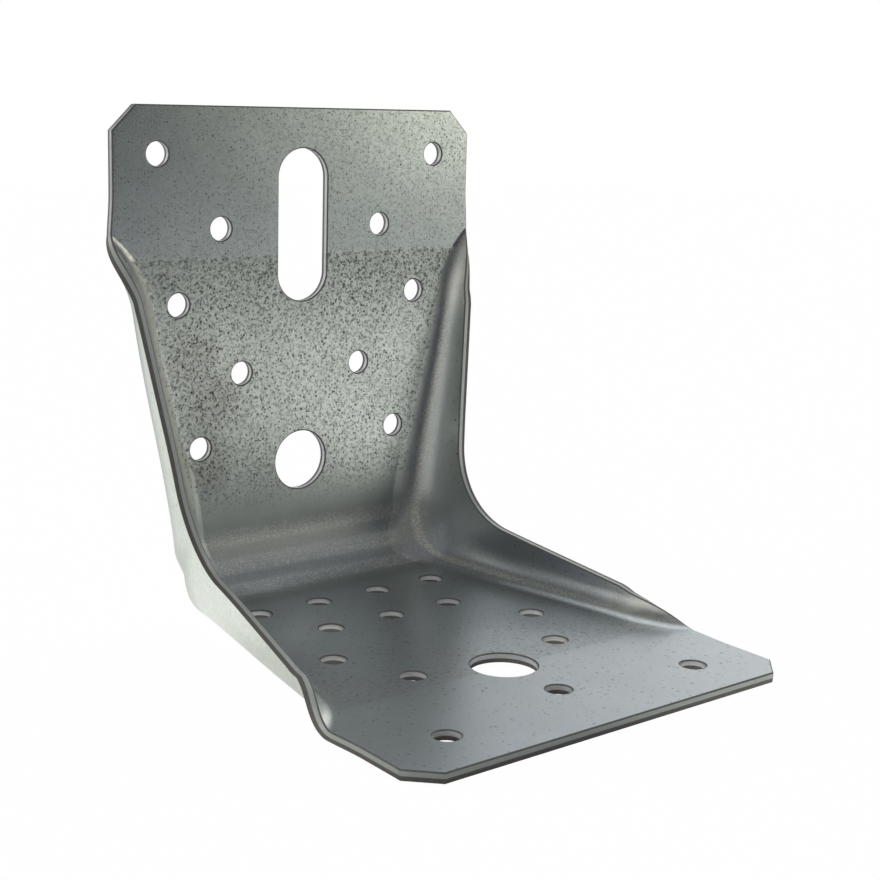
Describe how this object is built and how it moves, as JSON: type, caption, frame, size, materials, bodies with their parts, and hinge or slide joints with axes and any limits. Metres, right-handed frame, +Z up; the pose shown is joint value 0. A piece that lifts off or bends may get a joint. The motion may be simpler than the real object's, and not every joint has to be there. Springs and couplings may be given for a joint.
{
  "type": "reinforced angle bracket",
  "caption": "Galvanised steel angle bracket with turned-in side flanges, nail holes, bolt holes and a slot.",
  "frame": {"origin": "middle of the underside of the base leg, at the centre of the overall box", "axes": "+X across the width, +Y from the base leg's front edge to the back of the upright leg, +Z up"},
  "size_m": [0.0922, 0.105, 0.105],
  "materials": {
    "galvanised_sheet": "galvanised, dull, specked"
  },
  "bodies": {
    "root": {"bracket": "galvanised_sheet"}
  },
  "joints": []
}
